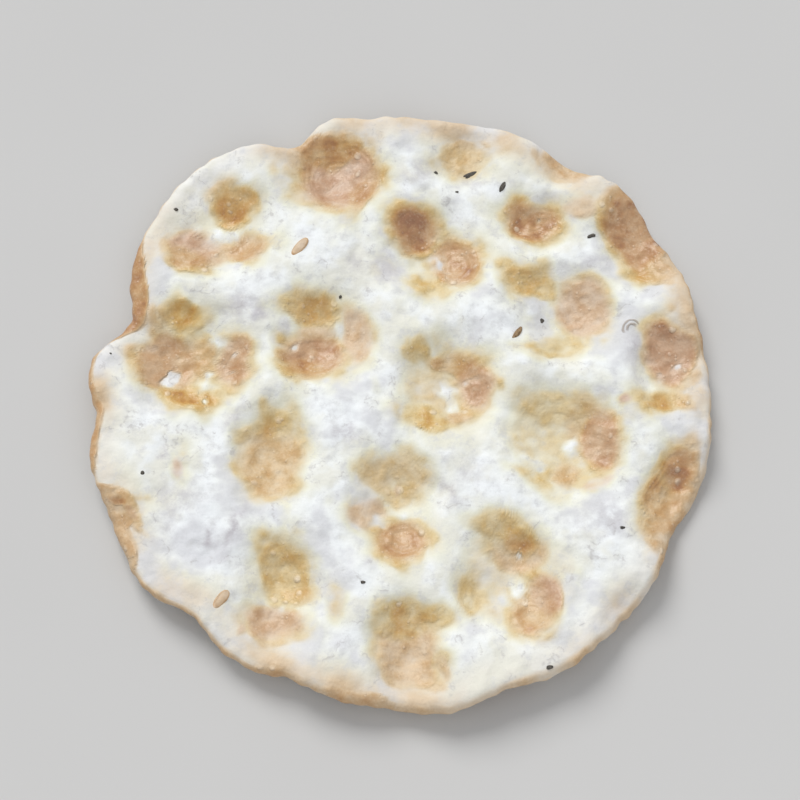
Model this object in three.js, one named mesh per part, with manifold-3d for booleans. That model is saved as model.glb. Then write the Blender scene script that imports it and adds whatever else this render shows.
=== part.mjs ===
// A pebble-baked flatbread: a thin round of dough baked between two layers of hot pebbles.
// Pebbles on top press bowls into it, pebbles underneath push domes up between those bowls,
// so one wavy sheet results, with a soft rounded edge and a few seeds baked into its skin.
// Millimetres, +Z up. The bread lies flat, shown side up, centred over the origin at z = 0.

import * as THREE from 'three';
import { mergeVertices } from 'three/addons/utils/BufferGeometryUtils.js';
import Module from 'manifold-3d';

const wasm = await Module();
wasm.setup();

// ---------------------------------------------------------------- driving dimensions, mm

const RIM_RADIUS = 85.5; // middle of the bread to its edge, between the swellings
const DOUGH = 3.4; // thickness of the sheet
const LIP_EXTRA = 1.0; // the edge is this much thicker
const LIP_WIDTH = 9.0; // over about this width
const EDGE_ROUND = 2.8; // how far in the edge starts to round off
const THINNEST = 1.6; // dough left where a pebble pressed hardest
const MIDDLE_HEIGHT = 5.3; // middle layer of the sheet above the table

const BOWL_CREASE = 0.8; // how softly the bowls run out into the sheet
const BACK_CREASE = 1.4; // the same, felt through the dough on the other face
const BACK_SPREAD = 1.15; // a bowl's bulge on the other face is this much wider
const BACK_LOSS = 1.0; // and this much less deep

// Pebbles that lay on top: middle, half sizes, turn in degrees, and how deep they pressed.
// Those with their middle past the edge pressed the rim down.
const PEBBLES_ABOVE = [
  { x: -19.5, y: 69, wide: 15.5, high: 13.5, turn: -15, deep: 4.8 },
  { x: -50, y: 51, wide: 15.5, high: 15.5, turn: 0, deep: 4.5 },
  { x: 9.5, y: 43, wide: 14.5, high: 15, turn: -40, deep: 4.5 },
  { x: 38.5, y: 53, wide: 12, high: 9, turn: 0, deep: 3.0 },
  { x: 67, y: 45, wide: 10.5, high: 17, turn: 20, deep: 4.0 },
  { x: 45.5, y: 25, wide: 16.5, high: 15, turn: -30, deep: 4.8 },
  { x: -57.5, y: 11, wide: 18.5, high: 17.5, turn: 0, deep: 4.8 },
  { x: -21, y: 18.5, wide: 15.5, high: 16, turn: 0, deep: 4.7 },
  { x: 14, y: 4, wide: 15, high: 16, turn: 0, deep: 4.8 },
  { x: 44.5, y: -12, wide: 18.5, high: 17, turn: -20, deep: 4.9 },
  { x: 73.5, y: 8.5, wide: 9.5, high: 15, turn: 0, deep: 3.8 },
  { x: -35, y: -15.5, wide: 11.5, high: 17, turn: 0, deep: 4.3 },
  { x: -0.5, y: -31.5, wide: 13, high: 16.5, turn: 0, deep: 4.3 },
  { x: 28.5, y: -51.5, wide: 14.5, high: 17.5, turn: 15, deep: 4.8 },
  { x: 74, y: -28, wide: 9.5, high: 16, turn: -20, deep: 4.0 },
  { x: -32, y: -55, wide: 13, high: 16, turn: 10, deep: 4.7 },
  { x: 2, y: -70.5, wide: 11, high: 14, turn: 5, deep: 4.3 },
  { x: 18, y: 73, wide: 10, high: 9, turn: 0, deep: 2.6 },
  { x: 48, y: 72, wide: 11, high: 9, turn: -25, deep: 3.4 },
  { x: -84, y: 31, wide: 13, high: 16, turn: 0, deep: 5.6 },
  { x: -92, y: -6, wide: 11, high: 11, turn: 0, deep: 5.0 },
  { x: -84, y: -41, wide: 14, high: 17, turn: 20, deep: 5.6 },
  { x: -62, y: -71, wide: 16, high: 10, turn: -40, deep: 4.8 },
  { x: -30, y: -90, wide: 15, high: 11, turn: 10, deep: 4.8 },
  { x: 64, y: -66, wide: 14, high: 12, turn: 40, deep: 3.6 },
  { x: 92, y: -4, wide: 10, high: 9, turn: 0, deep: 3.6 },
];

// Pebbles underneath settle into the gaps between those above.
const GAP_STEP = 3; // places that are tried lie this far apart
const GAP_REACH = 84; // as far as this either way
const GAP_INSIDE = 0.93; // and within this share of the edge
const GAP_OVERLAP = 0.8; // a pebble keeps others this share of its size away
const GAP_FILL = 1.25; // a pebble is this much larger than the gap that it fills
const SMALLEST_GAP = 7;
const LARGEST_BELOW = 15;
const BELOW_DEEP = 2.7; // a pebble of SMALL_BELOW pushes up this far
const BELOW_DEEPER = 0.07; // and each further mm of its size adds this much
const SMALL_BELOW = 8;
const BELOW_LOSS = 0.6; // a dome on top is this much lower than the pebble's push

// The edge's swellings and notches: direction in degrees, mm outward, half width in degrees.
const EDGE_WAVES = [
  { at: 27, out: 2, spread: 7 },
  { at: 43, out: 4, spread: 9 },
  { at: 70, out: 2, spread: 12 },
  { at: 103, out: 3, spread: 6 },
  { at: 112.5, out: -3.5, spread: 5 },
  { at: 131, out: 6, spread: 15 },
  { at: 163, out: -6.5, spread: 7 },
  { at: 173, out: 1.5, spread: 5 },
  { at: 184, out: -2, spread: 4 },
  { at: 193, out: 1, spread: 5 },
  { at: 217, out: 1.5, spread: 6 },
  { at: 229, out: -3, spread: 6 },
  { at: 250, out: -2, spread: 6 },
  { at: 278, out: 2.5, spread: 7 },
  { at: 300, out: 1.8, spread: 8 },
  { at: 332, out: -3, spread: 7 },
];

// Seeds and dark herb flakes baked into the skin: place, turn in degrees, full sizes, face.
const SEEDS = [
  { x: -28.5, y: 45, turn: 50, long: 5.2, wide: 2.4, thick: 1.6, top: true },
  { x: -48, y: -56, turn: 55, long: 5.0, wide: 2.4, thick: 1.6, top: true },
  { x: 32, y: 19.5, turn: 50, long: 5.2, wide: 1.7, thick: 1.5, top: true },
  { x: 20, y: 69, turn: 30, long: 3.4, wide: 2.4, thick: 1.2, top: true },
  { x: 29.5, y: 63.5, turn: -20, long: 3.0, wide: 2.0, thick: 1.2, top: true },
  { x: -14, y: 38, turn: 100, long: 5.0, wide: 1.7, thick: 1.5, top: false },
  { x: 30, y: -27, turn: 20, long: 5.0, wide: 1.7, thick: 1.5, top: false },
];
const SEED_SUNK = 0.15; // share of a seed's thickness that its middle lies below the skin
const SEED_SIDES = 6;
const SEED_RINGS = 4;

const FACE_STEPS = 48; // cells across each face
const EDGE_STEPS = 4; // cells round the edge's section
const SAME_PLACE = 1e-4; // corners closer than this are one corner
const SLOPE_STEP = 0.5; // distance over which the skin's slope is measured

// ---------------------------------------------------------------- the sheet's form

// Squared distance from a pebble's middle, as a share of its size in that direction.
function reachSquared(pebble, x, y) {
  const turn = THREE.MathUtils.degToRad(pebble.turn);
  const across = (x - pebble.x) * Math.cos(turn) + (y - pebble.y) * Math.sin(turn);
  const along = (y - pebble.y) * Math.cos(turn) - (x - pebble.x) * Math.sin(turn);
  return (across / pebble.wide) ** 2 + (along / pebble.high) ** 2;
}

// Depth pressed by all pebbles together: each is a round bowl, and the logarithm of the
// summed exponentials is a soft maximum, which blends the bowls and their outer creases.
function pressed(pebbles, x, y, crease, spread, loss) {
  let sum = 0;
  for (const pebble of pebbles) {
    const share = reachSquared(pebble, x, y) / spread ** 2;
    sum += Math.exp(((pebble.deep - loss) * (1 - share)) / crease);
  }
  return crease * Math.log(1 + sum);
}

// Distance from the middle to the edge in a direction given in radians.
function edgeRadius(direction) {
  let radius = RIM_RADIUS;
  for (const wave of EDGE_WAVES) {
    const away = THREE.MathUtils.radToDeg(direction) - wave.at;
    const turned = THREE.MathUtils.euclideanModulo(away + 180, 360) - 180;
    radius += wave.out * Math.exp(-((turned / wave.spread) ** 2));
  }
  return radius;
}

// Fills the widest gap between the pebbles above again and again, until none is left.
function pebblesBelow() {
  const places = [];
  for (let y = -GAP_REACH; y <= GAP_REACH; y += GAP_STEP) {
    for (let x = -GAP_REACH; x <= GAP_REACH; x += GAP_STEP) {
      const inside = Math.hypot(x, y) <= GAP_INSIDE * edgeRadius(Math.atan2(y, x));
      if (inside) places.push({ x, y, gap: Infinity });
    }
  }
  const keepClear = (pebble) => {
    const size = Math.sqrt(pebble.wide * pebble.high) * GAP_OVERLAP;
    for (const place of places) {
      const away = Math.hypot(place.x - pebble.x, place.y - pebble.y) - size;
      place.gap = Math.min(place.gap, away);
    }
  };
  PEBBLES_ABOVE.forEach(keepClear);
  const found = [];
  for (;;) {
    const widest = places.reduce((best, place) => (place.gap > best.gap ? place : best));
    if (widest.gap < SMALLEST_GAP) return found;
    const size = Math.min(widest.gap * GAP_FILL, LARGEST_BELOW);
    const deep = BELOW_DEEP + BELOW_DEEPER * (size - SMALL_BELOW);
    const pebble = { x: widest.x, y: widest.y, wide: size, high: size, turn: 0, deep };
    found.push(pebble);
    keepClear(pebble);
  }
}
const PEBBLES_BELOW = pebblesBelow();

// Heights of the shown face and the underside at a place, with the flat resting spots.
function faceHeights(x, y) {
  const fromEdge = edgeRadius(Math.atan2(y, x)) - Math.hypot(x, y);
  const half = (DOUGH + LIP_EXTRA * Math.exp(-((fromEdge / LIP_WIDTH) ** 2))) / 2;
  const bowl = pressed(PEBBLES_ABOVE, x, y, BOWL_CREASE, 1, 0);
  const bulge = pressed(PEBBLES_ABOVE, x, y, BACK_CREASE, BACK_SPREAD, BACK_LOSS);
  const hollow = pressed(PEBBLES_BELOW, x, y, BOWL_CREASE, 1, 0);
  const dome = pressed(PEBBLES_BELOW, x, y, BACK_CREASE, BACK_SPREAD, BELOW_LOSS);
  const top = Math.max(MIDDLE_HEIGHT + half - bowl + dome, THINNEST);
  const under = Math.min(MIDDLE_HEIGHT - half - bulge + hollow, top - THINNEST);
  return { top, bottom: Math.max(under, 0) };
}

// A place on a square, both ways from -1 to 1, carried to a disc: squares become rings.
function squareToDisc(a, b) {
  if (a === 0 && b === 0) return { share: 0, direction: 0 };
  const sideways = Math.abs(a) > Math.abs(b);
  const ring = sideways ? a : b;
  const angle = sideways ? (Math.PI / 4) * (b / a) : Math.PI / 2 - (Math.PI / 4) * (a / b);
  const direction = Math.atan2(ring * Math.sin(angle), ring * Math.cos(angle));
  return { share: Math.abs(ring), direction };
}

// ---------------------------------------------------------------- solids

function mergedGeometry(geometry) {
  geometry.deleteAttribute('normal');
  geometry.deleteAttribute('uv');
  return mergeVertices(geometry, SAME_PLACE);
}

// A box whose upper and lower faces become the bread's two faces and whose four sides
// become its edge: half a turn of an ellipse between the faces.
function breadGeometry() {
  const box = new THREE.BoxGeometry(2, 2, 2, FACE_STEPS, FACE_STEPS, EDGE_STEPS);
  const geometry = mergedGeometry(box);
  const place = geometry.attributes.position;
  for (let i = 0; i < place.count; i += 1) {
    const level = place.getZ(i);
    const { share, direction } = squareToDisc(place.getX(i), place.getY(i));
    const turn = (level * Math.PI) / 2;
    const faceRadius = (edgeRadius(direction) - EDGE_ROUND) * share;
    const x = faceRadius * Math.cos(direction);
    const y = faceRadius * Math.sin(direction);
    const { top, bottom } = faceHeights(x, y);
    const radius = faceRadius + EDGE_ROUND * Math.cos(turn);
    const height = (top + bottom) / 2 + ((top - bottom) / 2) * Math.sin(turn);
    place.setXYZ(i, radius * Math.cos(direction), radius * Math.sin(direction), height);
  }
  return geometry;
}

// A seed or flake: a small ellipsoid lying along the skin, more than half of it proud.
function seedGeometry(seed) {
  const face = seed.top ? 'top' : 'bottom';
  const out = seed.top ? 1 : -1;
  const { x, y } = seed;
  const rise = (dx, dy) => faceHeights(x + dx, y + dy)[face] - faceHeights(x - dx, y - dy)[face];
  const slope = [rise(SLOPE_STEP, 0), rise(0, SLOPE_STEP)].map((r) => r / (2 * SLOPE_STEP));
  const normal = new THREE.Vector3(-slope[0], -slope[1], 1).normalize();
  const lie = new THREE.Quaternion().setFromUnitVectors(new THREE.Vector3(0, 0, 1), normal);
  const turn = new THREE.Quaternion().setFromAxisAngle(
    new THREE.Vector3(0, 0, 1),
    THREE.MathUtils.degToRad(seed.turn),
  );
  const middle = new THREE.Vector3(x, y, faceHeights(x, y)[face]);
  middle.addScaledVector(normal, -out * SEED_SUNK * seed.thick);
  const halves = new THREE.Vector3(seed.long / 2, seed.wide / 2, seed.thick / 2);
  const geometry = mergedGeometry(new THREE.SphereGeometry(1, SEED_SIDES, SEED_RINGS));
  return geometry.applyMatrix4(new THREE.Matrix4().compose(middle, lie.multiply(turn), halves));
}

function toSolid(geometry) {
  const vertProperties = new Float32Array(geometry.attributes.position.array);
  const triVerts = new Uint32Array(geometry.index.array);
  return new wasm.Manifold(new wasm.Mesh({ numProp: 3, vertProperties, triVerts }));
}

function toGeometry(solid) {
  const mesh = solid.getMesh();
  const geometry = new THREE.BufferGeometry();
  geometry.setAttribute('position', new THREE.BufferAttribute(mesh.vertProperties, 3));
  geometry.setIndex(new THREE.BufferAttribute(mesh.triVerts, 1));
  return geometry;
}

// Moves the bread so that the middle of its outline's box stands over the origin.
function centred(geometry) {
  geometry.computeBoundingBox();
  const middle = geometry.boundingBox.getCenter(new THREE.Vector3());
  geometry.translate(-middle.x, -middle.y, 0);
  geometry.computeVertexNormals();
  return geometry;
}

// ---------------------------------------------------------------- the bread

let solid = toSolid(breadGeometry());
for (const seed of SEEDS) solid = solid.add(toSolid(seedGeometry(seed)));

const crust = new THREE.MeshStandardMaterial({
  color: '#e4dccb',
  roughness: 0.8,
  metalness: 0,
});
const bread = new THREE.Mesh(centred(toGeometry(solid)), crust);
bread.name = 'flatbread';

const model = new THREE.Group();
model.add(bread);

export default model;
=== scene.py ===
# %% [markdown]
# # A pebble-baked flatbread
#
# A thin round of wheat dough is laid on a bed of hot pebbles and covered with more of them.
# Every pebble on top presses a bowl into the sheet and browns the bowl's floor. Every pebble
# underneath pushes a dome up between those bowls, and the domes stay pale and floury.
#
# The frame holds this bread as a coarse solid. The lesson works the same sheet out again on
# a much finer grid, adds what is too small for the frame, such as blisters and wrinkles, and
# gives it its baked colours. Lengths are in millimetres until a mesh is filled, which turns
# them into metres.

# %% Load the frame
import math

import bpy
import numpy as np
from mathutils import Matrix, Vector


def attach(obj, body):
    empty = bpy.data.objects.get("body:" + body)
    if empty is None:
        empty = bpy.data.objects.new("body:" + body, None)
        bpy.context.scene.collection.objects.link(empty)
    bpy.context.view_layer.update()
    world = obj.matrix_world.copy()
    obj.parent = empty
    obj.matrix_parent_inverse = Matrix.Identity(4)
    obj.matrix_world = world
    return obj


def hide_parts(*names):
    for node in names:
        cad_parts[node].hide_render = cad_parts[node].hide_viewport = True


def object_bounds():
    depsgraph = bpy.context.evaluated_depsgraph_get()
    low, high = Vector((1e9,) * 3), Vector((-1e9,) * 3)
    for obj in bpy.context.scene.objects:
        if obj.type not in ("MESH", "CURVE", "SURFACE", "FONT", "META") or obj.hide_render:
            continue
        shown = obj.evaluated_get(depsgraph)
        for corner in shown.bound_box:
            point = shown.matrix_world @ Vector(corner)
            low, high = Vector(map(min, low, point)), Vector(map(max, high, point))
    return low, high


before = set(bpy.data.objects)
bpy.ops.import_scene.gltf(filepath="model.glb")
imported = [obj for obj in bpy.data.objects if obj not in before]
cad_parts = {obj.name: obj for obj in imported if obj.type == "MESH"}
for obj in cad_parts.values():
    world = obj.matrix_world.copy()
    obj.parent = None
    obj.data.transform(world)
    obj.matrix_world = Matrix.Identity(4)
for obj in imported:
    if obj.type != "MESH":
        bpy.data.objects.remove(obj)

cad_low, cad_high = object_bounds()
METRES_PER_MM = 0.001
print("frame box, mm:", [round(side / METRES_PER_MM, 1) for side in cad_high - cad_low])

# %% [markdown]
# ## The pebbles that lay on top
#
# On the real bread each pebble left an oval bowl, 20 to 35 mm across and up to 5 mm deep.
# Bowls could be sculpted by hand, or pressed in with a displacement picture. A list of ovals
# is better here: it is short, each row is one pebble of the real bread, and the same rows
# later tell where the crust is brown. A pebble whose middle lies past the bread's edge
# pressed only the rim down.

# %% The pebbles above: middle, half sizes, turn in degrees, depth
SPOT = [(name, float) for name in ("x", "y", "wide", "high", "turn", "deep")]
pebbles_above = np.array([
    (-19.5, 69, 15.5, 13.5, -15, 4.8),
    (-50, 51, 15.5, 15.5, 0, 4.5),
    (9.5, 43, 14.5, 15, -40, 4.5),
    (38.5, 53, 12, 9, 0, 3.0),
    (67, 45, 10.5, 17, 20, 4.0),
    (45.5, 25, 16.5, 15, -30, 4.8),
    (-57.5, 11, 18.5, 17.5, 0, 4.8),
    (-21, 18.5, 15.5, 16, 0, 4.7),
    (14, 4, 15, 16, 0, 4.8),
    (44.5, -12, 18.5, 17, -20, 4.9),
    (73.5, 8.5, 9.5, 15, 0, 3.8),
    (-35, -15.5, 11.5, 17, 0, 4.3),
    (-0.5, -31.5, 13, 16.5, 0, 4.3),
    (28.5, -51.5, 14.5, 17.5, 15, 4.8),
    (74, -28, 9.5, 16, -20, 4.0),
    (-32, -55, 13, 16, 10, 4.7),
    (2, -70.5, 11, 14, 5, 4.3),
    (18, 73, 10, 9, 0, 2.6),
    (48, 72, 11, 9, -25, 3.4),
    (-84, 31, 13, 16, 0, 5.6),
    (-92, -6, 11, 11, 0, 5.0),
    (-84, -41, 14, 17, 20, 5.6),
    (-62, -71, 16, 10, -40, 4.8),
    (-30, -90, 15, 11, 10, 4.8),
    (64, -66, 14, 12, 40, 3.6),
    (92, -4, 10, 9, 0, 3.6),
], SPOT)
print(len(pebbles_above), "pebbles above")

# %% [markdown]
# ## How a pebble presses
#
# A round pebble leaves a bowl that is deepest in its middle and runs out at its rim. Where
# two bowls meet, real dough makes one soft crease, not a sharp edge. A plain maximum of the
# two depths would leave a knife edge, so the depths are joined by a soft maximum.


# %% Distance to a spot, and the depth under all pebbles together
def reach(spot, x, y):
    """Distance from a spot's middle, which is 1 at its rim: the place in the spot's own
    turned directions, divided by its half sizes, and joined as a triangle's long side."""
    turn = np.radians(spot["turn"])
    across = (x - spot["x"]) * np.cos(turn) + (y - spot["y"]) * np.sin(turn)
    along = (y - spot["y"]) * np.cos(turn) - (x - spot["x"]) * np.sin(turn)
    return np.hypot(across / spot["wide"], along / spot["high"])


def pressed(spots, x, y, crease, spread=1.0, loss=0.0):
    """Soft maximum of all bowls: crease times the logarithm of one plus the summed
    exponentials of each bowl's depth over crease. A bowl is deep * (1 - distance squared)."""
    total = np.ones_like(x)
    for spot in spots:
        share = (reach(spot, x, y) / spread) ** 2
        total += np.exp((spot["deep"] - loss) * (1 - share) / crease)
    return crease * np.log(total)


# %% [markdown]
# ## The outline
#
# The dough was patted out by hand, so the bread isn't a circle. Its edge swells where the
# dough was free to creep and is held back where a pebble lay on it. A circle plus a few
# bell-shaped swellings and notches describes that with three numbers each, where a traced
# outline would need a hundred points.

# %% Distance from the middle to the edge
RIM_RADIUS = 85.5
EDGE_WAVES = [  # direction in degrees, mm outward, half width in degrees
    (27, 2, 7), (43, 4, 9), (70, 2, 12), (103, 3, 6), (112.5, -3.5, 5), (131, 6, 15),
    (163, -6.5, 7), (173, 1.5, 5), (184, -2, 4), (193, 1, 5), (217, 1.5, 6),
    (229, -3, 6), (250, -2, 6), (278, 2.5, 7), (300, 1.8, 8), (332, -3, 7),
]


def bell(degrees, at, spread, power=2):
    """A bell curve of the angle from one direction: 1 there, and e to the minus power of
    angle over spread to either side."""
    away = (degrees - at + 180) % 360 - 180
    return np.exp(-((away / spread) ** power))


def edge_radius(direction):
    """The rim's circle plus, for each wave, its height times a bell curve of the angle."""
    radius = np.full_like(direction, RIM_RADIUS)
    for at, out, spread in EDGE_WAVES:
        radius += out * bell(np.degrees(direction), at, spread)
    return radius


def from_edge(x, y):
    """How far inside the edge a place lies."""
    return edge_radius(np.arctan2(y, x)) - np.hypot(x, y)


# %% [markdown]
# ## The pebbles underneath
#
# Nobody sees them, but the domes that they pushed up show between the bowls. Pebbles settle
# where there is room, so each is put into the widest gap that is left, over and over, until
# no gap is wide enough. The rule needs no list, and it gives the same places on each run.

# %% Fill the gaps
GAP_STEP, GAP_LIMIT, GAP_INSIDE = 3.0, 84.0, 0.93
GAP_OVERLAP, GAP_FILL, SMALLEST_GAP, LARGEST_BELOW = 0.8, 1.25, 7.0, 15.0
BELOW_DEEP, BELOW_DEEPER, SMALL_BELOW = 2.7, 0.07, 8.0


def pebbles_in_gaps(above):
    """The widest gap is the tried place farthest from every pebble so far, and the pebble
    that fills it is a little larger than the gap, and deeper the larger it is."""
    steps = np.arange(-GAP_LIMIT, GAP_LIMIT + GAP_STEP, GAP_STEP)
    x, y = (grid.ravel() for grid in np.meshgrid(steps, steps))
    inside = np.hypot(x, y) <= GAP_INSIDE * edge_radius(np.arctan2(y, x))
    x, y = x[inside], y[inside]
    gap = np.full_like(x, np.inf)
    for spot in above:
        size = math.sqrt(spot["wide"] * spot["high"]) * GAP_OVERLAP
        gap = np.minimum(gap, np.hypot(x - spot["x"], y - spot["y"]) - size)
    found = []
    while gap.max() >= SMALLEST_GAP:
        widest = int(gap.argmax())
        size = min(gap[widest] * GAP_FILL, LARGEST_BELOW)
        deep = BELOW_DEEP + BELOW_DEEPER * (size - SMALL_BELOW)
        found.append((x[widest], y[widest], size, size, 0, deep))
        away = np.hypot(x - x[widest], y - y[widest]) - size * GAP_OVERLAP
        gap = np.minimum(gap, away)
    return np.array(found, SPOT)


pebbles_below = pebbles_in_gaps(pebbles_above)
print(len(pebbles_below), "pebbles below")

# %% [markdown]
# ## Unevenness
#
# Nothing on a bread is quite round or smooth. A noise texture would roughen only the shading.
# Here the numbers themselves are roughened, so that the outline of each print, the bowls and
# the skin all wander in the mesh. The noise is a sum of cosines that run in random
# directions, which is smooth everywhere and costs only a few whole-array sums.


# %% Smooth random ups and downs
def ripple(x, y, length, seed, waves=24):
    """Sum of cosines in random directions with wavelengths from 0.7 to 1.4 times length,
    divided by the root of half their number, so that it is about 1 high."""
    draw = np.random.default_rng(seed)
    heading = draw.uniform(0, math.tau, waves)
    spacing = length * draw.uniform(0.7, 1.4, waves)
    start = draw.uniform(0, math.tau, waves)
    total = np.zeros_like(x)
    for turn, wavelength, phase in zip(heading, spacing, start):
        along = x * np.cos(turn) + y * np.sin(turn)
        total += np.cos(along * math.tau / wavelength + phase)
    return total / math.sqrt(waves / 2)


def wander(x, y, length, reach_mm, seed):
    """A place moved sideways by two ripples, so that what is drawn there is uneven."""
    moved_x = x + reach_mm * ripple(x, y, length, seed)
    moved_y = y + reach_mm * ripple(x, y, length, seed + 1)
    return moved_x, moved_y


def fade(value, start, end):
    """0 before start, 1 after end, and an S-shaped curve in between."""
    share = np.clip((value - start) / (end - start), 0, 1)
    return share * share * (3 - 2 * share)


# %% [markdown]
# ## The browned prints
#
# Where hot stone touched the dough the crust is brown, in patches that are smaller than the
# bowl around them: dough that puffed up inside a bowl left two or three lobes with a pale
# ridge between them. Each row is one lobe. `deep` is how far the lobe is sunk into the bowl,
# and a lobe with no depth only darkens part of another. `brown` is how dark it baked and
# `pink` how far its middle leans from golden to a pinkish tan.

# %% Lobes of the shown face: middle, half sizes, turn, depth, brown, pink
PRINT = SPOT[:5] + [(name, float) for name in ("deep", "brown", "pink")]
prints_top = np.array([
    (-18.5, 68, 13.2, 12, -15, 1.15, 0.62, 1.0),  # the large print at the far edge
    (-20, 76.5, 9.5, 4.5, 8, 0, 0.88, 0.25),
    (-10.5, 62.5, 3.2, 8, -27, 0, 0.7, 0.5),
    (-30, 70, 5, 6.5, 0, 0, 0.46, 0),
    (-22, 57.5, 9, 2.5, -15, 0, 0.26, 0),
    (-48, 58.5, 6.3, 5.8, -25, 1.15, 0.85, 0.25),  # three lobes, upper left
    (-58.5, 44.5, 8.5, 7, 0, 1.15, 0.56, 1.0),
    (-60, 41, 6.5, 3.2, -10, 0, 0.74, 0.35),
    (-44, 45, 7, 4.6, 0, 1.0, 0.68, 0.6),
    (-51.5, 44, 5, 4.5, 0, 0, 0.5, 0.7),
    (-61.5, 24.3, 6.5, 4.3, 0, 1.0, 0.8, 0),  # the flower of four lobes, left
    (-64.5, 11, 9.8, 9, 0, 1.3, 0.66, 0.75),
    (-56.5, 11.5, 6.5, 6.5, 0, 0, 0.58, 0.4),
    (-46.3, 10.8, 5.3, 8.3, 0, 1.15, 0.7, 0.8),
    (-57.5, 0, 7.5, 4, -10, 1.0, 0.94, 0.1),
    (-25, 26.8, 6.8, 5, -10, 1.15, 0.72, 0.15),  # three lobes, left of the middle
    (-24, 19.5, 6, 4, 0, 0, 0.46, 0.8),
    (-24.5, 12.3, 9.3, 7.5, 5, 1.3, 0.74, 0.85),
    (-26, 8.5, 6.5, 2.8, -8, 0, 0.8, 0.2),
    (-12.5, 18, 4.8, 9, 10, 1.0, 0.46, 0.7),
    (4, 50.5, 7.2, 7, 0, 1.15, 0.86, 0.75),  # the darkest one, and its paler neighbours
    (3.5, 51, 5, 4.8, 0, 0, 1.0, 0.8),
    (15.5, 41, 7.8, 7.8, 0, 1.15, 0.78, 0.7),
    (7.5, 33, 6.5, 4.5, 0, 0.8, 0.48, 0),
    # Part of the brown of this lobe and of the lobe at (66, 50.5) is painted shadow on the far
    # right.
    (38, 53.5, 8.5, 6, 0, 1.0, 0.9, 0.65),
    (52, 57, 7, 4, 0, 0, 0.4, 0.6),
    (66, 50.5, 8, 13.5, 20, 0.8, 0.84, 0.75),  # along the right edge
    (69, 36.7, 7.5, 3.6, -5, 0.7, 0.72, 0.1),
    (74.5, 13, 7.6, 10.3, 15, 1.0, 0.72, 0.95),
    (72.5, -1.5, 7.3, 3.7, 0, 0.8, 0.7, 0.15),
    (72.5, -28, 7, 14.5, -20, 1.0, 0.68, 0.5),
    (76, -20.5, 4.5, 6.5, -25, 0, 0.92, 0.7),
    (35.5, 35, 7.5, 5.5, -10, 1.0, 0.6, 0.1),  # the open ring, right
    (51, 27, 8, 10, 15, 1.0, 0.5, 0.8),
    (44, 15.5, 10.5, 4.2, 5, 0.8, 0.38, 0),
    (13.5, 2.5, 12.5, 12, 0, 0.8, 0.35, 0.2),  # the round one in the middle
    (20.5, 4, 5.5, 8.5, 12, 0.6, 0.74, 0.95),
    (14.5, 10.5, 8.5, 2.8, -5, 0, 0.62, 0.5),
    (5.5, 14, 3.4, 3.0, 0, 0, 0.64, 0),
    (7.5, -6, 7, 4, -15, 0, 0.66, 0),
    (16, -5.5, 5, 2.8, 20, 0, 0.55, 0.6),
    (45, -12, 15.5, 14.5, -15, 0.8, 0.31, 0.05),  # the largest one
    (41, -2.5, 10.5, 5, -6, 0, 0.39, 0.05),
    (54.5, -11.5, 5.6, 9.8, 6, 0.6, 0.7, 0.9),
    (50, -7, 6, 8, 0, 0, 0.44, 0.5),
    (44.5, -22, 4, 4.5, -20, 0, 0.55, 0.5),
    (37, -24.3, 7, 2.2, -33, 0, 0.45, 0),
    (53.5, -24.5, 4.5, 2, 20, 0, 0.36, 0.9),
    (-35.5, -18.5, 9.5, 12, 0, 1.15, 0.54, 0.45),  # left, below the middle
    (-34, -7.5, 4.8, 5, 0, 0.8, 0.56, 0.05),
    (-1.5, -23, 10, 7, -10, 1.0, 0.44, 0.25),  # two lobes with a white ridge
    (-9, -33, 5.5, 5, 0, 0.6, 0.4, 0.7),
    (0, -41, 7.5, 6.5, -20, 1.15, 0.79, 0.65),
    (27.5, -37.2, 8.5, 3.2, -6, 0.6, 0.52, 0.1),  # a crescent and two lobes, lower right
    (31.5, -44, 7.6, 6, -10, 1.15, 0.52, 0.6),
    (31, -41.3, 4.2, 2.6, 0, 0, 0.84, 0.3),
    (34.5, -60.5, 7, 7, 0, 1.15, 0.6, 0.55),
    (38.5, -56, 4.5, 6, 0, 0, 0.62, 1.0),
    (19.5, -55, 5, 6.5, 0, 0.8, 0.4, 0.05),
    (28.5, -51, 11.5, 15, 18, 0, 0.24, 0.3),
    (42, -47.5, 5, 4, 0, 0, 0.2, 0.3),
    (-31, -48.5, 7, 10, 22, 1.15, 0.54, 0.1),  # two lobes, lower left
    (-26.5, -55, 3.5, 3, 0, 0, 0.58, 0.25),
    (-33.5, -63.5, 9, 5.8, 0, 1.0, 0.5, 0.8),
    (2, -70, 9.5, 12, 5, 1.0, 0.46, 0.6),  # at the near edge
    (2, -62.5, 9, 4.5, 0, 0, 0.58, 0),
    (11.5, -75.5, 2.2, 4, -10, 0, 0.5, 0.5),
    (18, 73, 7.5, 6, 0, 0.7, 0.5, 0.3),  # at the far right
    (48, 72, 8.5, 6, -25, 0.8, 0.6, 0.3),
    (-59.8, -21, 1.5, 3, 0, 0, 0.42, 0.9),
    (61.5, -2.5, 1.6, 1.4, 0, 0, 0.6, 1),
    (-0.8, -26.8, 1.2, 1.2, 0, 0, 0.9, 0.6),
    (-17.5, -58, 1.8, 3, 0, 0, 0.4, 0.3),
    (-77, -29.8, 4.5, 1.4, 5, 0, 0.95, 0.7),
    (-71.6, -33.5, 4.0, 1.4, -55, 0, 0.95, 0.7),
    (-42.5, -65.5, 1.4, 1.8, 0, 0, 0.6, 0.8),
    (-32.5, -67.5, 5, 1.6, 5, 0, 0.54, 0),
    (-5, 38, 5, 5, 0, 0, 0.14, 0.2),
    (12, -12.5, 6, 3.5, 0, 0, 0.17, 0),
], PRINT)
print(len(prints_top), "browned lobes on the shown face")

# %% [markdown]
# The underside has the same kind of prints under the pebbles below. Their places are known
# already, so a seeded draw splits each into one to three lobes round its middle.

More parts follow.
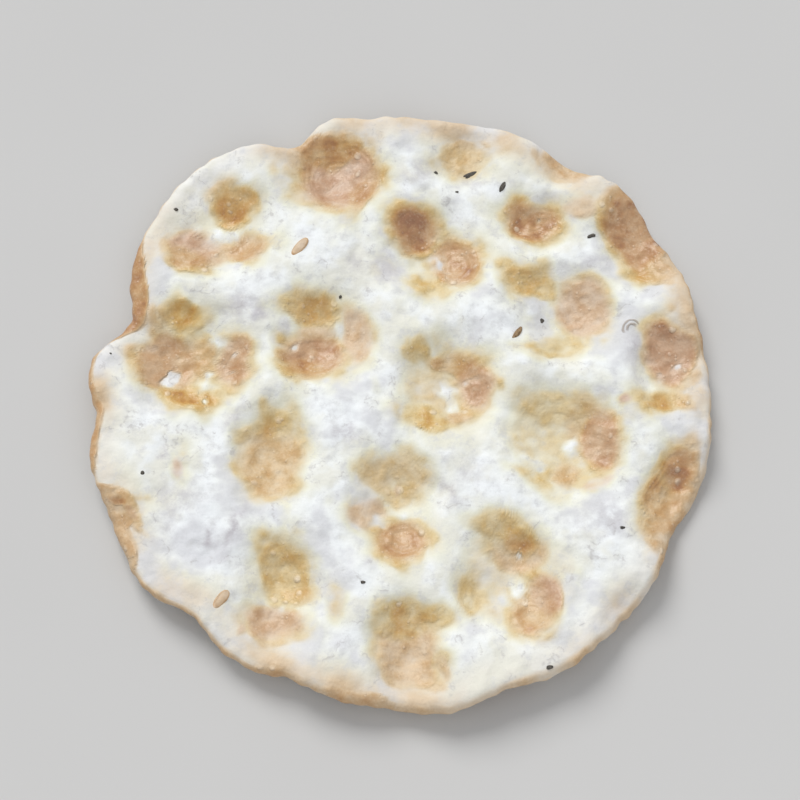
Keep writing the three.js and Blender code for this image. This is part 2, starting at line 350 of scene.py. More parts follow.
# %% Lobes of the underside
LOBE_SIZE = 0.78  # of its pebble's half size where it is alone
LOBE_SHARE = (1.0, 0.72, 0.6)  # and the share of that where there are one, two or three
LOBE_AWAY = (0.0, 0.42, 0.5)  # how far out a lobe's middle lies
LOBE_UNEVEN, LOBE_TURN = (0.8, 1.1), (-40, 40)  # least and most, as for the next two
LOBE_BROWN, LOBE_PINK = (0.5, 0.9), (0, 0.6)


def prints_in(spots, seed):
    """For each pebble, one to three ovals on a ring round its middle, each with a brown and
    a pink drawn at random."""
    draw = np.random.default_rng(seed)
    rows = []
    for spot in spots:
        count = int(draw.integers(1, 4))
        first = draw.uniform(0, math.tau)
        size = LOBE_SIZE * spot["wide"] * LOBE_SHARE[count - 1]
        for turn in first + np.arange(count) * math.tau / count:
            away = spot["wide"] * LOBE_AWAY[count - 1]
            x, y = spot["x"] + away * np.cos(turn), spot["y"] + away * np.sin(turn)
            wide, high = size * draw.uniform(*LOBE_UNEVEN, 2)
            brown, pink = draw.uniform(*LOBE_BROWN), draw.uniform(*LOBE_PINK)
            rows.append((x, y, wide, high, draw.uniform(*LOBE_TURN), 1.0, brown, pink))
    return np.array(rows, PRINT)


prints_under = prints_in(pebbles_below, seed=5)
print(len(prints_under), "browned lobes underneath")

# %% [markdown]
# ## Bubbles
#
# Steam raises two kinds of bubble. A few broad pale ones stand up in the middle of a bowl,
# clear of the stone, and stay floury. Many small ones blister the browned floors and catch
# the light. The broad ones are listed, the small ones placed by a seeded draw inside the
# lobes. The list also holds a few small spots on the browned floors whose paleness is a
# painted highlight.

# %% Broad bubbles by hand, small blisters at random
BUBBLE = [(name, float) for name in ("x", "y", "wide", "deep", "pale")]
# The paleness of the small spots at (-54, -1), (-46, 13), (-45.5, 8.5), (-29.5, 15.5) and (17.5, 6)
# is a painted highlight.
bubbles_top = np.array([  # middle, half width, height, paleness
    (-63.5, 5.5, 2.8, 0.5, 1.2), (-63.6, 8.2, 2.0, 0.3, 1.0),
    (-52.5, 7.5, 2.4, 0.5, 0.7), (-51, 16.5, 3.2, 0.5, 0.8),
    (-54, -1, 1.5, 0.3, 0.9), (-46, 13, 1.4, 0.3, 0.9), (-54.5, 4, 2.6, 0.4, 0.7),
    (-29.5, 15.5, 1.4, 0.3, 0.8), (-18.5, 21.5, 3.0, 0.5, 0.7), (-45.5, 8.5, 1.2, 0.3, 0.8),
    (-52, 50, 3.4, 0.6, 0.9), (-57.5, 50.5, 2.4, 0.4, 0.5), (-46.5, 49.5, 2.6, 0.4, 0.7),
    (10.5, 41, 4.2, 0.6, 0.7), (13.5, 36, 2.4, 0.4, 0.5), (2, 42, 2.0, 0.3, 0.4),
    (12.5, 2.5, 3.2, 0.6, 0.9), (14.5, -2, 2.6, 0.4, 0.85), (17.5, 6, 1.1, 0.3, 0.8),
    (47, -13, 3.0, 0.5, 0.95), (33, -18, 2.6, 0.3, 0.7), (37.5, -19, 2.4, 0.3, 0.7),
    (38.5, 25.5, 5.5, 0.9, 0.7), (77, 9.5, 2.2, 0.4, 0.7), (72, 7, 2.8, 0.4, 0.5),
    (12, -33, 2.6, 0.4, 0.5), (1, -33, 3.0, 0.5, 0.7), (-5, -35, 2.4, 0.4, 0.6),
    (31, -44, 1.4, 0.4, 0.6), (32, -54, 4.0, 0.6, 0.75), (27, -56.5, 2.2, 0.3, 0.5),
    (-31, -58.5, 3.0, 0.5, 0.5), (-16, 66, 2.4, 0.4, 0.3), (-80.5, 11.5, 1.8, 0.4, 0.2),
    (38.5, 55, 1.6, 0.4, 0.6), (63.5, 21.5, 2.4, 0.5, 0.0),
], BUBBLE)
BLISTERS_PER_LOBE = 9
BLISTER_WIDE, BLISTER_HIGH = (1.1, 2.1), (0.12, 0.26)  # mm, and shares of the width
BUBBLE_LEAST, BUBBLE_MOST = (1.6, 0.3), (4.2, 0.6)  # half width and height
BUBBLE_OFF, BUBBLE_PALE = (-0.33, 0.33), (0.4, 0.8)


def blisters_in(prints, seed):
    """Small round bubbles at random places inside the lobes: the angle is even and the
    distance is the root of an even draw, which spreads them evenly over the oval."""
    draw = np.random.default_rng(seed)
    lobe = np.repeat(prints[prints["deep"] > 0], BLISTERS_PER_LOBE)
    turn, away = draw.uniform(0, math.tau, len(lobe)), np.sqrt(draw.uniform(0, 1, len(lobe)))
    made = np.zeros(len(lobe), BUBBLE)
    made["x"] = lobe["x"] + away * lobe["wide"] * np.cos(turn)
    made["y"] = lobe["y"] + away * lobe["high"] * np.sin(turn)
    made["wide"] = draw.uniform(*BLISTER_WIDE, len(lobe))
    made["deep"] = made["wide"] * draw.uniform(*BLISTER_HIGH, len(lobe))
    return made


def bubbles_between(spots, seed):
    """One pale bubble in each pebble's bowl, at random within a third of its size."""
    draw = np.random.default_rng(seed)
    made = np.zeros(len(spots), BUBBLE)
    made["x"] = spots["x"] + spots["wide"] * draw.uniform(*BUBBLE_OFF, len(spots))
    made["y"] = spots["y"] + spots["high"] * draw.uniform(*BUBBLE_OFF, len(spots))
    made["wide"], made["deep"] = draw.uniform(BUBBLE_LEAST, BUBBLE_MOST, (len(spots), 2)).T
    made["pale"] = draw.uniform(*BUBBLE_PALE, len(spots))
    return made


blisters_top = blisters_in(prints_top, seed=11)
blisters_under = blisters_in(prints_under, seed=12)
bubbles_under = bubbles_between(pebbles_below, seed=13)
print(len(blisters_top) + len(blisters_under), "blisters")


def raised(bubbles, x, y, measure="deep"):
    """Sum of round humps, each its height, or another measure, times e to the minus twice
    the square of the distance over its half width."""
    total = np.zeros_like(x)
    for bubble in bubbles:
        away = ((x - bubble["x"]) ** 2 + (y - bubble["y"]) ** 2) / bubble["wide"] ** 2
        total += bubble[measure] * np.exp(-2.0 * away)
    return total


# %% [markdown]
# ## The two faces
#
# The sheet's middle layer is bent down by the pebbles above and up by those below. On the
# face that a pebble touched the bowl is crisp, and on the other face its bulge comes through
# softer, wider and less deep. Skin detail is added to that: lobes sunk into the bowls, their
# bubbles, rings of fine wrinkles round them, and a gentle lumpiness all over. The underside
# is cut off at the table, which leaves the small flat spots that the bread rests on.

# %% Heights
DOUGH, LIP_EXTRA, LIP_WIDTH = 3.4, 1.0, 9.0
THINNEST, MIDDLE_HEIGHT = 1.1, 5.3
BOWL_CREASE, BACK_CREASE, LOBE_CREASE = 0.8, 1.4, 0.18
BACK_SPREAD, BACK_LOSS, BELOW_LOSS = 1.15, 1.0, 0.6
BOWL_WANDER, LOBE_WANDER, FINE_WANDER = (16.0, 0.5), (12.0, 0.5), (4.0, 0.08)  # length, reach
BOWL_SEED, TOP_SEED, UNDER_SEED = 40, 60, 80  # starts of the random draws
PUFF = 0.55  # how far the dough rose in a bowl, between its lobes
PUFF_DEPTH = (1.0, 3.5)  # how deep a bowl is where the puff starts, and where it is full
LUMPS = ((12.0, 0.16), (5.5, 0.09), (2.8, 0.04))  # wavelength and height


def print_place(x, y, seed):
    """The place moved by a broad and a fine wander, in which the lobes are true ovals."""
    broad = wander(x, y, *LOBE_WANDER, seed + 20)
    return wander(*broad, *FINE_WANDER, seed + 22)


def skin(prints, bubbles, blisters, bowl, x, y, seed):
    """Relief of one face, outwards: lumps, the puff in the bowls, bubbles and blisters, less
    the sunk lobes."""
    lumps = sum(high * ripple(x, y, long, seed + i) for i, (long, high) in enumerate(LUMPS))
    puffed = PUFF * fade(bowl, *PUFF_DEPTH)
    sunk = pressed(prints[prints["deep"] > 0], *print_place(x, y, seed), LOBE_CREASE)
    humps = raised(bubbles, x, y) + raised(blisters, x, y)
    return lumps + puffed + humps - sunk


def face_heights(x, y):
    """Heights of the shown face and the underside: the middle layer, half the dough's
    thickness either way, and what each bed of pebbles pressed."""
    lip = np.exp(-((from_edge(x, y) / LIP_WIDTH) ** 2))
    half = (DOUGH + LIP_EXTRA * lip) / 2
    place = wander(x, y, *BOWL_WANDER, BOWL_SEED)
    bowl = pressed(pebbles_above, *place, BOWL_CREASE)
    bulge = pressed(pebbles_above, *place, BACK_CREASE, BACK_SPREAD, BACK_LOSS)
    hollow = pressed(pebbles_below, *place, BOWL_CREASE)
    dome = pressed(pebbles_below, *place, BACK_CREASE, BACK_SPREAD, BELOW_LOSS)
    top = MIDDLE_HEIGHT + half - bowl + dome
    under = MIDDLE_HEIGHT - half - bulge + hollow
    top += skin(prints_top, bubbles_top, blisters_top, bowl, x, y, TOP_SEED)
    under -= skin(prints_under, bubbles_under, blisters_under, hollow, x, y, UNDER_SEED)
    top = np.maximum(top, THINNEST)
    return top, np.maximum(np.minimum(under, top - THINNEST), 0)


# %% [markdown]
# ## The grid
#
# A round sheet can be gridded like a dartboard, but then its middle is a knot of slivers. A
# square grid keeps its cells alike, and the concentric map bends its squares into rings, so
# the same square grid covers the disc to its edge. The two faces share their outermost ring
# with a strip that rounds the edge off, so the bread is one closed skin.


# %% From a square to the bread
def square_to_disc(a, b):
    """Carries a square, both ways from -1 to 1, to a disc: the larger coordinate gives the
    ring, and the smaller one's share of it gives the angle within a quarter."""
    sideways = np.abs(a) > np.abs(b)
    ring, other = np.where(sideways, a, b), np.where(sideways, b, a)
    part = np.divide(other, ring, out=np.zeros_like(ring), where=ring != 0)
    angle = np.where(sideways, part, 2 - part) * math.pi / 4
    return np.abs(ring), np.arctan2(ring * np.sin(angle), ring * np.cos(angle))


EDGE_ROUND = 2.8  # how far in the edge starts to round off
FACE_STEPS, EDGE_STEPS = 206, 10  # cells across each face, and round the edge's section
NICK_LENGTH, NICK_DEPTH, NICK_SEED = 5.0, 0.16, 30

steps = np.linspace(-1, 1, FACE_STEPS + 1)
grid_a, grid_b = (grid.ravel() for grid in np.meshgrid(steps, steps))
share, direction = square_to_disc(grid_a, grid_b)
rim = edge_radius(direction)
rim_x, rim_y = rim * np.cos(direction), rim * np.sin(direction)
rim += NICK_DEPTH * ripple(rim_x, rim_y, NICK_LENGTH, NICK_SEED)
face_x = (rim - EDGE_ROUND) * share * np.cos(direction)
face_y = (rim - EDGE_ROUND) * share * np.sin(direction)
top_z, under_z = face_heights(face_x, face_y)
print(f"shown face from {top_z.min():.2f} to {top_z.max():.2f} mm")
print(f"dough from {(top_z - under_z).min():.2f} to {(top_z - under_z).max():.2f} mm")

# %% The edge's strip and the faces that join everything
number = np.arange(len(face_x)).reshape(FACE_STEPS + 1, FACE_STEPS + 1)
ring = np.concatenate([number[0, :-1], number[:-1, -1], number[-1, :0:-1], number[:0:-1, 0]])
turns = np.linspace(-math.pi / 2, math.pi / 2, EDGE_STEPS + 1)[1:-1, None]
ring_radius = np.hypot(face_x[ring], face_y[ring]) + EDGE_ROUND * np.cos(turns)
middle_z = (top_z[ring] + under_z[ring]) / 2
half_z = (top_z[ring] - under_z[ring]) / 2
strip_x = ring_radius * np.cos(direction[ring])
strip_y = ring_radius * np.sin(direction[ring])
strip_z = middle_z + half_z * np.sin(turns)

crust_x = np.concatenate([face_x, face_x, strip_x.ravel()])
crust_y = np.concatenate([face_y, face_y, strip_y.ravel()])
crust_z = np.concatenate([top_z, under_z, strip_z.ravel()])

strip = 2 * number.size + np.arange(strip_x.size).reshape(strip_x.shape)
rings = np.vstack([number.size + ring, strip, ring])
cells = np.stack([number[:-1, :-1], number[:-1, 1:], number[1:, 1:], number[1:, :-1]], -1)
cells = cells.reshape(-1, 4)
walls = np.stack([rings[:-1], np.roll(rings[:-1], -1, 1), np.roll(rings[1:], -1, 1), rings[1:]], -1)
crust_faces = np.vstack([cells, cells[:, ::-1] + number.size, walls.reshape(-1, 4)])
middle = [(values.min() + values.max()) / 2 for values in (crust_x, crust_y)]
print(len(crust_faces), "faces, shifted by", [round(-m, 2) for m in middle], "mm")


# %% Fill a mesh
def make_piece(name, x, y, z, faces, **attributes):
    """A mesh object from millimetre arrays, shifted so that the bread is centred over the
    origin, with one number at each vertex for each named attribute."""
    mesh = bpy.data.meshes.new(name)
    place = np.stack([x - middle[0], y - middle[1], z], -1) * METRES_PER_MM
    mesh.from_pydata(place.tolist(), [], list(faces))
    for title, values in attributes.items():
        layer = mesh.attributes.new(title, "FLOAT", "POINT")
        layer.data.foreach_set("value", values.astype(np.float32))
    mesh.shade_smooth()
    mesh.validate()
    piece = bpy.data.objects.new(name, mesh)
    bpy.context.scene.collection.objects.link(piece)
    return piece


# %% [markdown]
# ## Where it browned
#
# Colour follows contact. A lobe is brown up to its rim and leans to pink in its middle, and
# a halo, golden here and nearly missing there, fades out round it into the flour. Bubbles
# stood clear of the stone, so they stay pale, and the paleness of a few small ones on the
# browned floors is a painted highlight. An image texture could hold this, but it would have to
# be painted. Here the prints' own rows say where the crust is brown. That is worked out once
# for each vertex and kept in the mesh as attributes, so the colours stay put however the piece
# is turned, and the material only adds what is finer than the grid.

# %% Browning, its hue, and how far inside a print a place is
SOFT_RIM = 1.1  # mm over which a lobe's edge fades
RING_INSIDE, RING_WIDTH, RING_SHARE = 2.2, 2.0, 0.1  # a slightly darker ring, mm and share
HALOS = ((0.34, 2.1), (0.16, 6.0))  # the halo's browning and its width, near and far
PINK_REACH = (0.65, 1.2)  # where the pink starts to fade and is gone, as shares of a lobe
PALE_GAIN, PALE_FROM, PALEST = 1.3, 0.12, 0.95  # how a bubble's paleness counts
BOWL_TINT, TINT_DEPTH = 0.16, (0.5, 4)  # a bowl's faint tan, and the depths it comes in at
INSIDE_LIMIT = 9.0  # mm


def browning(pebbles, prints, bubbles, seed, x, y):
    """For each place: brown is the fifth root of the lobes' summed fifth powers, where each
    lobe is a step at its rim or the patchy halo outside it. It is at least the bowl's tint,
    and less on bubbles. Pink is the average of the lobes' pink, by the cube of their brown.
    Inside is the distance in from the rim of the lobe that is deepest."""
    near_x, near_y = print_place(x, y, seed)
    powers, pinks, weights = (np.zeros_like(x) for _ in range(3))
    inside = np.full_like(x, -INSIDE_LIMIT)
    soft = SOFT_RIM * np.exp(0.4 * ripple(x, y, 9.0, seed + 40))
    patchy = np.clip(0.85 + 0.4 * ripple(x, y, 12.0, seed + 46), 0.1, 1.5)
    for lobe in prints:
        away = reach(lobe, near_x, near_y)
        outside = (away - 1) * math.sqrt(lobe["wide"] * lobe["high"])
        step = 1 / (1 + np.exp(np.clip(outside / soft, -30, 30)))
        ring = np.exp(-(((outside + RING_INSIDE) / RING_WIDTH) ** 2))
        halo = sum(high * np.exp(-((np.maximum(outside, 0) / long) ** 2)) for high, long in HALOS)
        halo = halo * patchy
        brown = lobe["brown"] * np.maximum(step * (1 - RING_SHARE + RING_SHARE * ring), halo)
        powers += brown ** 5
        weights += brown ** 3
        pinks += brown ** 3 * lobe["pink"] * (1 - fade(away, *PINK_REACH))
        inside = np.maximum(inside, -outside * (lobe["deep"] > 0))
    pale = raised(bubbles, *wander(near_x, near_y, 4.0, 0.16, seed + 30), "pale")
    pale = PALE_GAIN * pale * (1 + 0.2 * ripple(x, y, 3.0, seed + 32)) - PALE_FROM
    bowl = pressed(pebbles, x, y, BOWL_CREASE)
    brown = np.maximum(powers ** 0.2, BOWL_TINT * fade(bowl, *TINT_DEPTH))
    brown *= 1 - np.clip(pale, 0, PALEST)
    brown *= 1 + 0.07 * ripple(x, y, 7.0, seed + 42) + 0.05 * ripple(x, y, 3.0, seed + 44)
    return brown, pinks / (weights + 1e-6), np.clip(inside, 0, INSIDE_LIMIT)


# %% [markdown]
# ## The rim
#
# The edge got less heat than the prints, so it is cream, with a tan line, broadened at the
# near edge as painted shade, floury stretches without the cream, and brown ones where a
# pebble rolled it down, which along the near edge are partly painted shade. Painting by hand
# would do it too. Since the edge is one closed line, a short list is enough: an angle says
# where each stretch lies, and a second one how long it is.

# %% The rim: cream, a tan line, and brown where it was rolled down, partly painted shade
RIM_CREAM, RIM_FROM, RIM_TO = 0.27, 2.5, 15.0
# The tan line is broadened towards the near side as painted shade.
LINE_BROWN, LINE_WIDTH, LINE_SHADE_LEAN, SHADED_NEAR_SIDE = 0.38, 2.1, 0.65, 285
RIM_PINK = 0.6
FLOURY = [  # direction and half width in degrees, share of the cream that is missing
    (131, 14, 0.75), (167, 5, 0.7), (191, 6, 0.6), (215, 5, 0.6), (234, 6, 0.5),
    (296, 15, 0.65), (323, 8, 0.6), (352, 6, 0.6),
]
ROLLED_AND_SHADED = [  # direction and half width in degrees, mm inwards, browning
    (158, 9.5, 5.4, 0.84), (176, 6, 1.8, 0.8), (187, 8, 2.8, 0.7), (203, 5, 7.5, 0.56),
    # The stretches at 243 and 262 degrees, along the near edge, are partly painted shade.
    (209, 6, 4.5, 0.5), (221, 10, 1.3, 0.66), (243, 12, 1.2, 0.66), (262, 8, 3.2, 0.56),
]


def rim_browning(x, y, shown):
    """The largest of three: cream that fades inwards and is missing in floury stretches, a
    tan line whose width leans towards the shaded near side as painted shade, and each rolled
    stretch, whose width is its own times a flat-topped bell. A stretch was rolled from above,
    so it browned only what the shown face shows. Two stretches along the near edge are partly
    painted shade."""
    inwards = from_edge(x, y)
    degrees = np.degrees(np.arctan2(y, x))
    uneven, wavy = ripple(x, y, 18.0, 140), 1 + 0.1 * ripple(x, y, 14.0, 142)
    cream = RIM_CREAM * (1 + 0.25 * uneven) * (1 - fade(inwards, RIM_FROM, RIM_TO))
    for at, spread, missing in FLOURY:
        cream = cream * (1 - missing * bell(degrees, at, spread))
    width = LINE_WIDTH * (1 + LINE_SHADE_LEAN * np.cos(np.radians(degrees - SHADED_NEAR_SIDE)))
    line = LINE_BROWN * (1 + 0.3 * uneven) * (1 - fade(inwards / width, 0.1, 1))
    brown = np.maximum(cream, line)
    for at, spread, wide, level in ROLLED_AND_SHADED:
        reach_in = wide * bell(degrees, at, spread, 4) * wavy
        brown = np.maximum(brown, shown * level * fade(reach_in - inwards, -0.8, 1.4))
    return brown


# %% [markdown]
# ## Smudges
#
# Ash and rubbed flour left soft grey smudges between the prints. A noise would put them
# anywhere, and on the real bread the larger ones have their places, so they are soft ovals
# in a list too. The one at (21, 67), by the far edge, is painted shadow. The material's noise
# breaks them up later.

# %% Grey smudges and one painted shadow on the shown face: middle, half sizes, turn, strength
SMUDGE = SPOT[:5] + [("dark", float)]
smudges_and_shade_top = np.array([
    (-45, 27, 5, 4.5, 20, 0.55), (-39.5, 24, 1.2, 3.5, -10, 0.7), (-44.5, -38, 1.6, 6.5, -22, 0.9),
    (-51, -41.5, 1.2, 2.6, 0, 0.9), (-46, -6.5, 1.4, 3.8, -40, 0.6), (-15, -11.5, 5, 2, 5, 0.6),
    (-64.5, -17.5, 0.9, 2.4, 10, 0.9), (56, -35, 9, 5, 20, 0.45), (64.5, 16, 3, 5.5, 10, 0.55),
    (65, 2, 4, 2.5, 0, 0.4), (13, -27.5, 1.6, 4.5, 45, 0.7), (20, -23, 4, 4, 0, 0.4),
    # The smudge at (21, 67) is painted shadow by the far edge.
    (5, 68, 6, 4, 30, 0.5), (21, 67, 4, 3, 20, 0.7), (55, 41, 4, 3, 0, 0.4),
    (-13, 40, 4, 3, 0, 0.3), (-62, -38, 5, 3, 30, 0.35), (-5, 38, 5, 4, 0, 0.5),
    (-60, -30, 6, 5, 0, 0.5),
], SMUDGE)


def smudging(x, y):
    """Sum over the smudges of the strength times a bell curve of the distance."""
    places = wander(x, y, 5.0, 0.5, 160)
    return sum(spot["dark"] * np.exp(-reach(spot, *places) ** 2) for spot in smudges_and_shade_top)


# %% [markdown]
# ## The masks of the whole skin
#
# A print that reaches the edge runs on over it. So the edge's strip is browned twice, by the
# shown face's prints and by the underside's, and mixes the two from its upper half to its
# lower one. Without that, each print would end in a hard line where its face ends.

# %% Both faces and the edge's strip
SHOWN_FACE = (pebbles_above, prints_top, bubbles_top, TOP_SEED)
UNDERSIDE = (pebbles_below, prints_under, bubbles_under, UNDER_SEED)
SHOWN_FROM, SHOWN_TO = -0.7, 0.1  # heights in the edge's section, which is 1 at its top
strip_shown = fade(np.sin(turns) + 0 * strip_x, SHOWN_FROM, SHOWN_TO).ravel()
top_masks, edge_above = (browning(*SHOWN_FACE, x.ravel(), y.ravel())
                         for x, y in ((face_x, face_y), (strip_x, strip_y)))
under_masks, edge_below = (browning(*UNDERSIDE, x.ravel(), y.ravel())
                           for x, y in ((face_x, face_y), (strip_x, strip_y)))
edge_masks = [above * strip_shown + below * (1 - strip_shown)
              for above, below in zip(edge_above, edge_below)]
brown, pink, inside = (np.concatenate(masks) for masks in zip(top_masks, under_masks, edge_masks))
rim_pink = RIM_PINK * (1 - fade(from_edge(crust_x, crust_y), RIM_FROM, RIM_TO))
pink = np.clip(np.maximum(pink, rim_pink), 0, 1)
shown = np.concatenate([np.ones_like(top_z), np.zeros_like(top_z), strip_shown])
brown = np.clip(np.maximum(brown, rim_browning(crust_x, crust_y, shown)), 0, 1)
smudged = np.clip(smudging(crust_x, crust_y) * shown, 0, 1)
crust = make_piece("crust", crust_x, crust_y, crust_z, crust_faces.tolist(),
                   brown=brown, pink=pink, inside=inside, smudged=smudged)
print(f"browned over a third of the ramp: {(top_masks[0] > 0.33).mean():.0%} of the shown face")

# %% [markdown]
# ## Colours
#
# Paint shops name colours, and so does this lesson: flour, cream, butter, gold, toast.
# Blender mixes light, so each hex colour is turned from the screen's curve into plain
# amounts of light before a node gets it.


# %% Names for colours, and small helpers for nodes
def paint(code):
    """A screen colour such as #ecefee as amounts of light: each channel is divided by 255,
    and the screen's curve is taken off it."""
    screen = [int(code[i:i + 2], 16) / 255 for i in (1, 3, 5)]
    light = [c / 12.92 if c <= 0.04045 else ((c + 0.055) / 1.055) ** 2.4 for c in screen]
    return (*light, 1.0)


def feed(tree, node, sockets):
    """Fills a node's inputs, each found by its name or number: another node's output is
    linked, and a number or colour is set on the socket itself."""
    for key, value in sockets.items():
        if isinstance(value, bpy.types.NodeSocket):
            tree.links.new(value, node.inputs[key])
        else:
            node.inputs[key].default_value = value
    return node


def add(tree, kind, settings=None, **sockets):
    """A shader node of one kind. Settings are its own options, and sockets its inputs."""
    node = tree.nodes.new("ShaderNode" + kind)
    for option, value in (settings or {}).items():
        setattr(node, option, value)
    return feed(tree, node, {title.replace("_", " "): value for title, value in sockets.items()})


def calculate(tree, operation, first, second=0.0):
    """One sum on two numbers, each a value or another node's output."""
    node = add(tree, "Math", {"operation": operation})
    return feed(tree, node, {0: first, 1: second}).outputs[0]


def times(tree, first, second):
    """The product of two numbers."""
    return calculate(tree, "MULTIPLY", first, second)


def plus(tree, first, second):
    """The sum of two numbers."""
    return calculate(tree, "ADD", first, second)


def minus(tree, first, second):
    """The first number less the second one."""
    return calculate(tree, "SUBTRACT", first, second)


def noise(tree, place, scale, detail, roughness=0.5):
    """Cloudy noise from 0 to 1, mostly near one half, with scale clouds in a metre."""
    return add(tree, "TexNoise", Vector=place, Scale=scale, Detail=detail,
               Roughness=roughness).outputs["Fac"]


def soft_step(tree, value, start, end, top=1.0):
    """A mask that rises smoothly from 0 to top while the value goes from start to end."""
    node = add(tree, "MapRange", {"interpolation_type": "SMOOTHSTEP"}, Value=value,
               From_Min=start, From_Max=end, To_Max=top)
    return node.outputs["Result"]


def blend_colours(tree, amount, first, second):
    """The second colour over the first one, by an amount from 0 to 1."""
    node = add(tree, "Mix", {"data_type": "RGBA"})
    return feed(tree, node, {0: amount, 6: first, 7: second}).outputs[2]


def colour_ramp(tree, amount, stops):
    """A ramp through named colours, each at its place from 0 to 1."""
    node = add(tree, "ValToRGB", Fac=amount)
    line = node.color_ramp.elements
    while len(line) < len(stops):
        line.new(0.5)
    for element, (place, code) in zip(line, stops):
        element.position = place
        element.color = paint(code)
    return node.outputs["Color"]


def new_material(name):
    """An empty material, with its tree, its Principled shader and its object coordinates."""
    material = bpy.data.materials.new(name)
    material.use_nodes = True
    tree = material.node_tree
    shader = tree.nodes["Principled BSDF"]
    place = add(tree, "TexCoord").outputs["Object"]
    return material, tree, shader, place


# %% [markdown]
# ## Grain
#
# Baked dough, seeds and dried leaf all have a fine uneven grain that shows in their colour
# and in how light catches them. The crust's bump and its flecks, the seeds, the leaf and the
# floor all use the same effect, each at its own size, so it is one node group: noise at the
# given size, and its own finer echo. It gives a mask around one half, and a height for bump.


# %% The grain group
FINER, FINE_HEIGHT = 4.0, 0.35  # the echo's scale, and how much of it goes into the height


def make_grain_group():
    """Two noises, one four times finer, averaged into a mask and a height."""
    group = bpy.data.node_groups.new("grain", "ShaderNodeTree")
    for title, side, kind in (("Vector", "INPUT", "Vector"), ("Scale", "INPUT", "Float"),
                              ("Mask", "OUTPUT", "Float"), ("Height", "OUTPUT", "Float")):
        group.interface.new_socket(title, in_out=side, socket_type="NodeSocket" + kind)
    entry, leave = group.nodes.new("NodeGroupInput"), group.nodes.new("NodeGroupOutput")
    place, scale = entry.outputs["Vector"], entry.outputs["Scale"]
    broad = noise(group, place, scale, 3.0, 0.55)
    fine = noise(group, place, times(group, scale, FINER), 2.0, 0.6)
    mask = times(group, plus(group, broad, fine), 0.5)
    height = plus(group, mask, times(group, fine, FINE_HEIGHT))
    feed(group, leave, {"Mask": mask, "Height": height})
    return group


grain_group = make_grain_group()


def add_grain(tree, place, scale):
    """The grain effect at one size, as its mask and its height."""
    node = add(tree, "Group", {"node_tree": grain_group}, Vector=place, Scale=scale)
    return node.outputs["Mask"], node.outputs["Height"]


# %% [markdown]
# ## The crust's finish
#
# Two ramps run from flour to brown, one through gold and one through pinkish tan, and the
# pink attribute chooses between them. Broad mottles move the browning up and down, so no
# print is one flat tone, and fine flecks, some toasted and some floury, lie over it. Flour
# lies on what isn't browned: cool white, creamy and lilac in turns, with the smudges and with
# faint grey rubs and hairlines where the dough was handled.

# %% Crust colours
GOLDEN = [
    (0.0, "#f6f9fa"), (0.12, "#edecda"), (0.31, "#e0d0a8"), (0.5, "#d9be85"),
    (0.71, "#d1a963"), (0.88, "#c4934c"), (1.0, "#b38046"),
]
PINKISH = [
    (0.0, "#f6f9fa"), (0.12, "#ebe4df"), (0.31, "#dcc5b2"), (0.5, "#d0b095"),
    (0.71, "#c49e80"), (0.88, "#b4896a"), (1.0, "#a3765d"),
]
MOTTLING = 0.75  # how far mottles move the browning
FLECKS = ((0.37, 0.1, "#87613f"), (0.63, 0.15, "#f1dfc2"))  # grain's end, strength, colour
CREAM_TINT, LILAC_TINT, TINT_STRENGTH = "#e9e7d9", "#dadadd", 0.75
RUB_COLOUR, HAIRLINE_COLOUR, SMUDGE_COLOUR = "#d3d3d3", "#a8a19d", "#beb9bd"


def crust_colour(tree, place, brown, pink, smudged, flecks):
    """The colour, and the browning that mottles have moved up and down. A hairline runs where
    a noise passes one half."""
    swing = times(tree, soft_step(tree, brown, 0.1, 0.6), MOTTLING)
    moved = minus(tree, noise(tree, place, 230.0, 2.5), 0.5)
    baked = plus(tree, brown, times(tree, moved, swing))
    colour = blend_colours(tree, pink, colour_ramp(tree, baked, GOLDEN),
                           colour_ramp(tree, baked, PINKISH))
    where = soft_step(tree, brown, 0.15, 0.45)
    for end, strength, code in FLECKS:
        amount = times(tree, soft_step(tree, flecks, 0.5, end, strength), where)
        colour = blend_colours(tree, amount, colour, paint(code))
    tint, rub = noise(tree, place, 70.0, 3.0, 0.6), noise(tree, place, 240.0, 6.0, 0.7)
    from_half = minus(tree, noise(tree, place, 55.0, 4.0, 0.6), 0.5)
    line = soft_step(tree, calculate(tree, "ABSOLUTE", from_half), 0.002, 0.016)
    pale = minus(tree, 1.0, soft_step(tree, brown, 0.08, 0.4))
    for amount, code in (
            (soft_step(tree, tint, 0.5, 0.66, TINT_STRENGTH), CREAM_TINT),
            (soft_step(tree, tint, 0.5, 0.36, TINT_STRENGTH), LILAC_TINT),
            (soft_step(tree, rub, 0.48, 0.68, 0.6), RUB_COLOUR),
            (times(tree, minus(tree, 1.0, line), soft_step(tree, rub, 0.48, 0.6, 0.32)),
             HAIRLINE_COLOUR),
            (times(tree, smudged, soft_step(tree, rub, 0.3, 0.55)), SMUDGE_COLOUR)):
        colour = blend_colours(tree, times(tree, amount, pale), colour, paint(code))
    return colour, baked


# %% [markdown]
# Three things stand up from the skin that are finer than the grid, so they are bump: a soft
# floury grain everywhere, wrinkles that follow a print's rim, like the rings in a puddle, and
# round blisters of many sizes in the browned floors. A blister is a Voronoi cell's dome: the
# cell's own random colour decides how large it is, and most cells get none. Blisters are thin,
# so they are a little paler, and the light colour on their domes is also a painted highlight.
# They shine as well.

